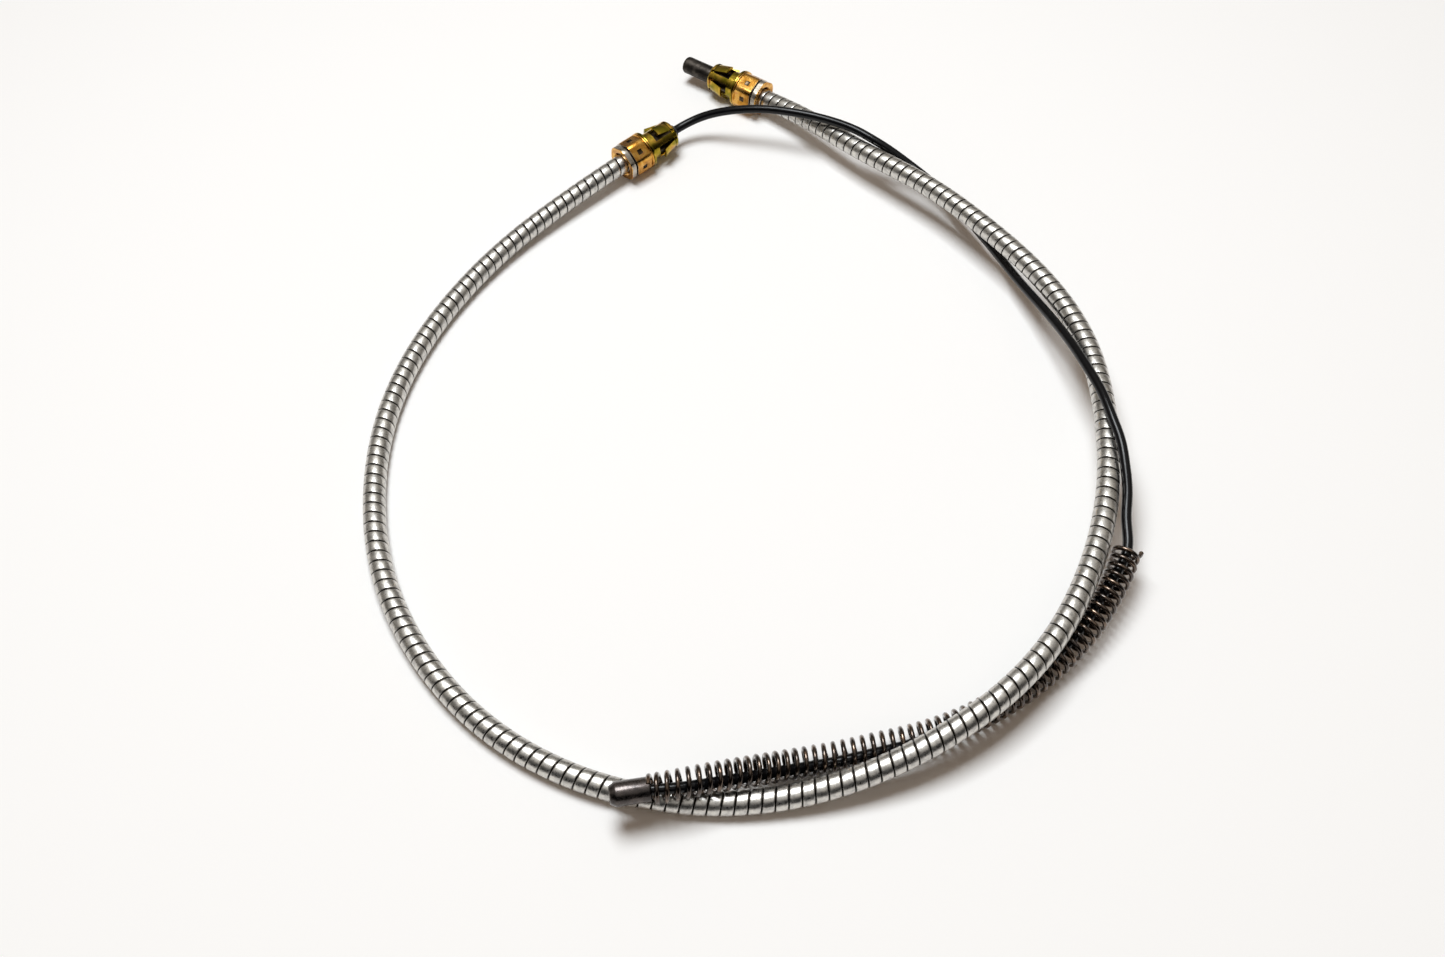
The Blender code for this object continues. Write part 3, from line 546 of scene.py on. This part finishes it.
# ----------------------------------------------------------------------------------- conduit
def spiral_conduit(material):
    """Strip wound in a left-hand helix, one nearly flat face per turn, a sunk seam between:
    made straight, then bent along its route."""
    route = [on_axis(WHEEL_END, CONDUIT_SEAT), on_axis(WHEEL_END, 0), *CONDUIT_ROUTE,
             on_axis(FRAME_END, 0), on_axis(FRAME_END, CONDUIT_SEAT)]
    curve, length, _ = natural_spline(route)
    r = CONDUIT_OD / 2
    bm = bmesh.new()
    corners = [bm.verts.new((r + depth, 0, along - STRIP_PITCH)) for along, depth in STRIP_FACE]
    edges = [bm.edges.new(pair) for pair in zip(corners, corners[1:])]
    bmesh.ops.spin(bm, geom=corners + edges, cent=(0, 0, 0), axis=(0, 0, -1),
                   dvec=(0, 0, STRIP_PITCH / STRIP_STEPS), angle=math.radians(360),
                   steps=STRIP_STEPS)
    one_turn = finish("turn", bm, Matrix.Identity(4), None)
    rows = one_turn.modifiers.new("turns", "ARRAY")
    rows.use_relative_offset, rows.use_constant_offset = False, True
    rows.constant_offset_displace = (0, 0, STRIP_PITCH)
    rows.count = math.ceil(length / STRIP_PITCH) + 2
    bpy.context.view_layer.update()
    evaluated = one_turn.evaluated_get(bpy.context.evaluated_depsgraph_get())
    bm = bmesh.new()
    bm.from_mesh(evaluated.to_mesh())
    bpy.data.objects.remove(one_turn)
    bmesh.ops.remove_doubles(bm, verts=bm.verts, dist=0.002)
    for height, facing in ((0, -1), (length, 1)):
        sliced = bmesh.ops.bisect_plane(bm, geom=bm.verts[:] + bm.edges[:] + bm.faces[:],
                                        plane_co=(0, 0, height), plane_no=(0, 0, facing),
                                        clear_outer=True)
        rim = [e for e in sliced["geom_cut"] if isinstance(e, bmesh.types.BMEdge)]
        bmesh.ops.edgeloop_fill(bm, edges=rim)
    bmesh.ops.recalc_face_normals(bm, faces=bm.faces)
    mesh = bpy.data.meshes.new("spiral_conduit")
    bm.to_mesh(mesh)
    bm.free()
    straight = np.empty(len(mesh.vertices) * 3)
    mesh.vertices.foreach_get("co", straight)
    straight = straight.reshape(-1, 3)
    radius = np.hypot(straight[:, 0], straight[:, 1])
    centre, side, upper = route_frames(curve, np.clip(straight[:, 2] / length, 0, 1))
    bent = centre + straight[:, :1] * side + straight[:, 1:2] * upper
    bent[:, 2] = np.maximum(bent[:, 2], 0)
    mesh.vertices.foreach_set("co", (bent * MM).ravel())
    seam = mesh.attributes.new("seam", "FLOAT", "POINT")
    seam.data.foreach_set("value", np.clip((r - radius - SEAM_DARK_FROM) / SEAM_DARK_FADE, 0, 1))
    mesh.materials.append(material)
    smooth(mesh, 50)
    return linked("spiral_conduit", mesh), curve(np.linspace(0, 1, 400)) * MM, length


conduit, conduit_path, conduit_length = spiral_conduit(STRIP)
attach(conduit, "casing")
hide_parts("conduit")


# ---------------------------------------------------------------------------------- fittings
def ferrule(label, place, hex_turn):
    """Crimped end: rear ring, groove, hexagonal collar with square punch marks, rim, spigot."""
    r = CONDUIT_OD / 2
    profile = [
        (r + MOUTH_FLARE, 0), (RING_R, 0), (RING_R, RING_LENGTH), (GROOVE_OD / 2, RING_LENGTH),
        (GROOVE_OD / 2, COLLAR_START), (COLLAR_OD / 2, COLLAR_START),
        (COLLAR_OD / 2, RIM_START - 0.2), (COLLAR_OD / 2 - 0.5, RIM_START + 0.1),
        (RIM_OD / 2, RIM_START + 0.5), (RIM_OD / 2, RIM_END), (SPIGOT_R, RIM_END),
        (SPIGOT_R, SPIGOT_END), (SEAL_BORE_R, SPIGOT_END), (SEAL_BORE_R, SEAL_BORE_START),
        (BORE_R, SEAL_BORE_START), (BORE_R, BORE_START), (r + CONDUIT_PLAY, BORE_START),
        (r + CONDUIT_PLAY, MOUTH_LENGTH),
    ]
    bm = spun(rounded(profile, 0.35), steps=96, start=hex_turn)
    press_flats(bm, 0, RING_LENGTH, RING_FLATS, hex_turn)
    press_flats(bm, COLLAR_START, RIM_START + 0.2, COLLAR_FLATS, hex_turn)
    # Painted light: the ring's front half and the groove's outer edges get bright steel as a
    # painted highlight, and the groove's floor and the spigot get dark steel as painted shade
    zinc, painted_highlight, painted_shade = 0, 1, 2
    groove_floor = GROOVE_OD / 2 + 0.7
    for part in bm.faces:
        middle = part.calc_center_median()
        out = math.hypot(middle.x, middle.y)
        if middle.z < RING_LENGTH + 0.4 and out > r + 1.2:
            part.material_index = painted_highlight if middle.z > RING_LENGTH * 0.45 else zinc
        if middle.z > RIM_END - 0.1 and out < SPIGOT_R + 0.1:
            part.material_index = painted_shade
        if RING_LENGTH - 0.1 < middle.z < COLLAR_START + 0.1:
            part.material_index = painted_shade if out < groove_floor else painted_highlight
    matrix = fitting_matrix(place)
    body = finish(label + "_crimped_ferrule", bm, matrix, FERRULE_ZINC, 35)
    body.data.materials.append(PAINTED_HIGHLIGHT_STEEL)
    body.data.materials.append(DARK_STEEL_AND_SHADE)
    marks = []
    for i in range(6):
        mark = bmesh.new()
        bmesh.ops.create_cube(mark, size=MARK_SIZE)
        bmesh.ops.bevel(mark, geom=mark.edges, offset=MARK_ROUND, segments=2, profile=0.5,
                        affect="EDGES", material=-1)
        bmesh.ops.translate(mark, vec=(COLLAR_FLATS / 2 + MARK_RISE, 0, MARK_PLACE),
                            verts=mark.verts)
        bmesh.ops.rotate(mark, verts=mark.verts, cent=(0, 0, 0),
                         matrix=Matrix.Rotation(math.radians(hex_turn + 60 * i), 3, "Z"))
        marks.append(finish("mark", mark, matrix, DARK_STEEL_AND_SHADE))
    cut(body, marks, 35)
    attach(body, "casing")
    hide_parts(label + "_ferrule")


def sleeve(label, place, finger_turn):
    """Stamped sleeve: flange, rounded nose, and a slot round each finger with round ends."""
    outer = SLEEVE_OD / 2
    nose = [(outer - NOSE_ROUND * (1 - math.cos(t)), NOSE - NOSE_ROUND * (1 - math.sin(t)))
            for t in np.linspace(0, math.pi / 2, 7)]
    flange = rounded([(SLEEVE_BORE, FLANGE_START), (RIM_OD / 2, FLANGE_START),
                      (RIM_OD / 2, SLEEVE_START), (outer, SLEEVE_START)], 0.35, (1, 2, 3))
    profile = [*flange, *nose, (NOSE_HOLE / 2 + 0.4, NOSE), (NOSE_HOLE / 2, NOSE - 0.4),
               (NOSE_HOLE / 2, NOSE - NOSE_WALL), (SLEEVE_BORE, NOSE - NOSE_WALL)]
    matrix = fitting_matrix(place)
    body = finish(label + "_clip_sleeve", spun(profile, steps=120, start=finger_turn), matrix,
                  CLIP_ZINC, 35)
    slot = math.degrees(SLOT_SIDE / outer)
    low, high = FINGER_ROOT - FINGER_LENGTH - SLOT_TIP, FINGER_ROOT + SLOT_PAST_ROOT
    wide = FINGER_ANGLE + 2 * slot
    cutters = []
    for i in range(4):
        middle = finger_turn + 90 * i
        window = [(SLEEVE_BORE - 0.15, low), (outer + 1, low), (outer + 1, high),
                  (SLEEVE_BORE - 0.15, high)]
        cutters.append(finish("window", spun(window, wide, 16, middle - wide / 2), matrix,
                              CLIP_ZINC))
        for side in (-1, 1):
            hole = bmesh.new()
            bmesh.ops.create_cone(hole, cap_ends=True, segments=24, radius1=SLOT_END_R,
                                  radius2=SLOT_END_R, depth=SLOT_END_DEPTH)
            bmesh.ops.rotate(hole, verts=hole.verts, cent=(0, 0, 0),
                             matrix=Matrix.Rotation(math.pi / 2, 3, "Y"))
            bmesh.ops.translate(hole, vec=(outer, 0, high), verts=hole.verts)
            turn = math.radians(middle + side * (wide - slot) / 2)
            bmesh.ops.rotate(hole, verts=hole.verts, cent=(0, 0, 0),
                             matrix=Matrix.Rotation(turn, 3, "Z"))
            cutters.append(finish("hole", hole, matrix, CLIP_ZINC))
    cut(body, cutters, 35)
    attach(body, "casing")
    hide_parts(label + "_clip")


def fingers(label, place, finger_turn):
    """Four strips of the sleeve's wall, bent out about their roots."""
    outer = SLEEVE_OD / 2
    middle = (SLEEVE_BORE + outer) / 2
    root_r = middle * (1 + math.cos(math.radians(FINGER_ANGLE / 2))) / 2
    tip = FINGER_ROOT - FINGER_LENGTH
    matrix = fitting_matrix(place)
    strip = rounded([(SLEEVE_BORE, tip), (outer, tip), (outer, FINGER_ROOT),
                     (SLEEVE_BORE, FINGER_ROOT)], 0.2, (0, 1))
    for i in range(4):
        bm = spun(strip, FINGER_ANGLE, 14, -FINGER_ANGLE / 2)
        bmesh.ops.remove_doubles(bm, verts=bm.verts, dist=MERGE)
        bmesh.ops.translate(bm, vec=(-root_r, 0, -FINGER_ROOT), verts=bm.verts)
        turned = (Matrix.Rotation(math.radians(finger_turn + 90 * i), 4, "Z")
                  @ Matrix.Translation((root_r, 0, FINGER_ROOT))
                  @ Matrix.Rotation(math.radians(-FINGER_SPLAY), 4, "Y"))
        name = "%s_finger_%d" % (label, i + 1)
        piece = finish(name + "_strip", bm, matrix @ turned, CLIP_ZINC, 35)
        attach(piece, name)
        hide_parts(name)


def seal(label, place, lip):
    """Rubber sleeve in the spigot's mouth with a thin lip round the cable."""
    hole = CABLE_OD / 2 + SEAL_PLAY
    high = NOSE + lip
    profile = rounded([(hole, SEAL_START), (SEAL_R, SEAL_START), (SEAL_R, SEAL_SHOULDER),
                       (LIP_R, SEAL_SHOULDER), (LIP_R, high), (hole, high)], 0.2)
    piece = finish(label + "_rubber_seal", spun(profile, steps=64), fitting_matrix(place), RUBBER)
    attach(piece, "casing")
    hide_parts(label + "_seal")


for label, place, hex_turn, finger_turn, lip in (
        ("wheel_end", WHEEL_END, 39.5, 7.0, WHEEL_END_LIP),
        ("frame_end", FRAME_END, 41.5, 2.0, FRAME_END_LIP)):
    ferrule(label, place, hex_turn)
    sleeve(label, place, finger_turn)
    fingers(label, place, finger_turn)
    seal(label, place, lip)


# -------------------------------------------------------------------------- plug and barrel
def swaged_end(name, matrix, radius, length, material, taper):
    """A turned steel end with a small chamfer and a tapered front, bored for the strand."""
    profile = rounded([(STRAND_BORE_R, 0), (radius - BACK_CHAMFER, 0), (radius, BACK_CHAMFER),
                       (radius, length - taper), (radius - 0.55 * taper, length), (0, length),
                       (0, STRAND_BORE_DEPTH), (STRAND_BORE_R, STRAND_BORE_DEPTH)],
                      0.4, (1, 2, 3, 4))
    return finish(name, spun(profile, steps=72), matrix, material, 35)


spring_axis, _, _ = natural_spline(SPRING_ROUTE)
spring_end = Vector(spring_axis(1.0)[0])
ahead = (spring_end - Vector(spring_axis(0.99)[0])).normalized()
seat = spring_end + Vector((0, 0, PLUG_RISE)) - ahead * PLUG_BACK
lifted = (ahead + Vector((0, 0, PLUG_TILT))).normalized()
plug_matrix = (Matrix.Translation(seat * MM) @ lifted.to_track_quat("Z", "Y").to_matrix().to_4x4()
               @ Matrix.Scale(MM, 4))
plug = swaged_end("swaged_end_plug", plug_matrix, PLUG_R, PLUG_LENGTH, PLUG_STEEL, PLUG_TAPER)
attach(plug, "plug")
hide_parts("end_plug")
barrel_matrix = fitting_matrix(FRAME_END) @ Matrix.Translation((0, 0, NOSE + BARREL_GAP))
barrel = swaged_end("swaged_barrel", barrel_matrix, BARREL_R, BARREL_LENGTH, BARREL_STEEL,
                    BARREL_TAPER)
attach(barrel, "barrel")
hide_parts("barrel_ferrule")

free_cable.data.materials.append(COATING)
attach(free_cable, "casing")
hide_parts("free_cable")
tail_cable.data.materials.append(COATING)
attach(tail_cable, "casing")
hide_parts("spring_cable")
spring.data.materials.append(WIRE)
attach(spring, "casing")
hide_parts("return_spring")

# The spring and the cable in it get meshes of their own; far_end is the cable's point at the
# spring's far end
far_end = Vector(cable(mouth)[0])
for piece in (spring, tail_cable):
    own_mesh(piece)

# The pieces that stay as the CAD has them, nearly hidden in the others
for node, material in (("cased_cable", COATING), ("pull_cable", COATING),
                       ("plug_strand", STRAND), ("barrel_strand", STRAND)):
    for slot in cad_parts[node].material_slots:
        slot.material = material


# ------------------------------------------------------------------- studio, in metres
FLOOR_HALF_WIDTH = 4
KEY_PLACE, KEY_TARGET, KEY_SIZE = (-0.16, 0.24, 1.35), (0, -0.03, 0), 0.62
KEY_STRENGTH, KEY_COLOUR = 0.93, (0.93, 0.97, 1.0)
FILL_STRENGTH, FILL_COLOUR = 0.23, "#FFE4CC"        # warm, as the photograph's shadows are
ROOM_STRENGTH = 0.8                                 # of what metal reflects


def floor_sheet():
    """A wide pale sheet of matte paper."""
    bm = bmesh.new()
    bmesh.ops.create_grid(bm, x_segments=8, y_segments=8, size=FLOOR_HALF_WIDTH)
    material, tree, shader = principled("pale_floor", "#FAFAF9", 0.0, 0.85, 1.45)
    shader.inputs["Specular IOR Level"].default_value = 0.1
    sheet = finish("floor", bm, Matrix.Identity(4), material)


def lamp(name, place, target, size, strength, colour):
    """A square soft lamp whose light doesn't fade with distance."""
    data = bpy.data.lights.new(name, "AREA")
    data.shape, data.size = "SQUARE", size
    data.color = colour
    data.use_nodes = True
    tree = data.node_tree
    fall = add(tree, "ShaderNodeLightFalloff", {"Strength": strength})
    tree.links.new(fall.outputs["Constant"], tree.nodes["Emission"].inputs["Strength"])
    aim = (Vector(target) - Vector(place)).to_track_quat("-Z", "Y").to_matrix().to_4x4()
    linked(name, data).matrix_world = Matrix.Translation(place) @ aim


def studio_world():
    """White to the camera; to metal a bright ceiling, dull walls and a dark room low in front;
    a soft fill to everything else."""
    world = bpy.data.worlds.new("studio")
    bpy.context.scene.world = world
    world.use_nodes = True
    tree = world.node_tree
    path = add(tree, "ShaderNodeLightPath")
    way = add(tree, "ShaderNodeSeparateXYZ",
              {0: add(tree, "ShaderNodeTexCoord").outputs["Generated"]})
    front = ramp(tree, way.outputs["Z"], [(0.0, "#0C0E12"), (0.62, "#15171C"), (0.72, "#8E8B88"),
                                          (0.80, "#C8C5C0"), (1.0, "#F6F3EE")])
    round_about = ramp(tree, way.outputs["Z"], [(0.0, "#77726C"), (0.5, "#97928A"),
                                                (0.85, "#E8E4DD"), (1.0, "#F6F3EE")])
    back = add(tree, "ShaderNodeMapRange", {"Value": way.outputs["Y"], "From Min": -0.45,
                                            "From Max": 0.0})
    room = add(tree, "ShaderNodeMix", {0: back.outputs["Result"], 6: front, 7: round_about},
               data_type="RGBA")
    fill = add(tree, "ShaderNodeBackground", {"Color": linear(FILL_COLOUR),
                                              "Strength": FILL_STRENGTH})
    seen = add(tree, "ShaderNodeBackground", {"Color": room.outputs[2],
                                              "Strength": ROOM_STRENGTH})
    white = add(tree, "ShaderNodeBackground", {"Color": (1, 1, 1, 1), "Strength": 1.0})
    shiny = add(tree, "ShaderNodeMixShader", {0: path.outputs["Is Glossy Ray"],
                                              1: fill.outputs[0], 2: seen.outputs[0]})
    shown = add(tree, "ShaderNodeMixShader", {0: path.outputs["Is Camera Ray"],
                                              1: shiny.outputs[0], 2: white.outputs[0]})
    tree.links.new(shown.outputs[0], tree.nodes["World Output"].inputs["Surface"])


floor_sheet()
lamp("key_lamp", KEY_PLACE, KEY_TARGET, KEY_SIZE, KEY_STRENGTH, KEY_COLOUR)
studio_world()
bpy.context.scene.view_settings.view_transform = "Standard"
